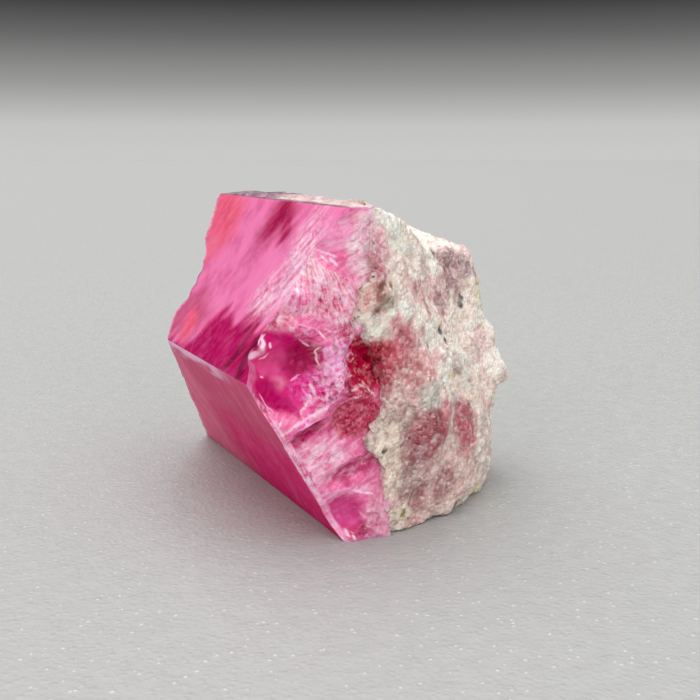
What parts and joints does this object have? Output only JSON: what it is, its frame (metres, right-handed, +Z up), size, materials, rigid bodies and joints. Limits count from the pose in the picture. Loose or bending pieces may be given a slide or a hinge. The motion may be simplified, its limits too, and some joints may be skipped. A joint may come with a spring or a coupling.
{
  "type": "red beryl crystal on matrix",
  "caption": "Stout broken red beryl crystal, a clear pink to deep magenta six-sided prism, lying on one face with a pale crusty lump of its rock grown to one side.",
  "frame": {"origin": "middle of the underside of the whole specimen's box, on the surface it lies on", "axes": "+Y along the crystal's length, from its broken end to its far end; +X from the crystal towards the rock; +Z up"},
  "size_m": [0.0118, 0.0152, 0.0104],
  "materials": {
    "red_beryl": "glassy and see-through deep pink to magenta, with frosted whitish pink areas on the breaks",
    "rhyolite": "dull, granular and crusty cream rock with dusty pink, mauve and grey blotches"
  },
  "bodies": {
    "root": {"beryl_crystal": "red_beryl", "rhyolite_matrix": "rhyolite"}
  },
  "joints": []
}
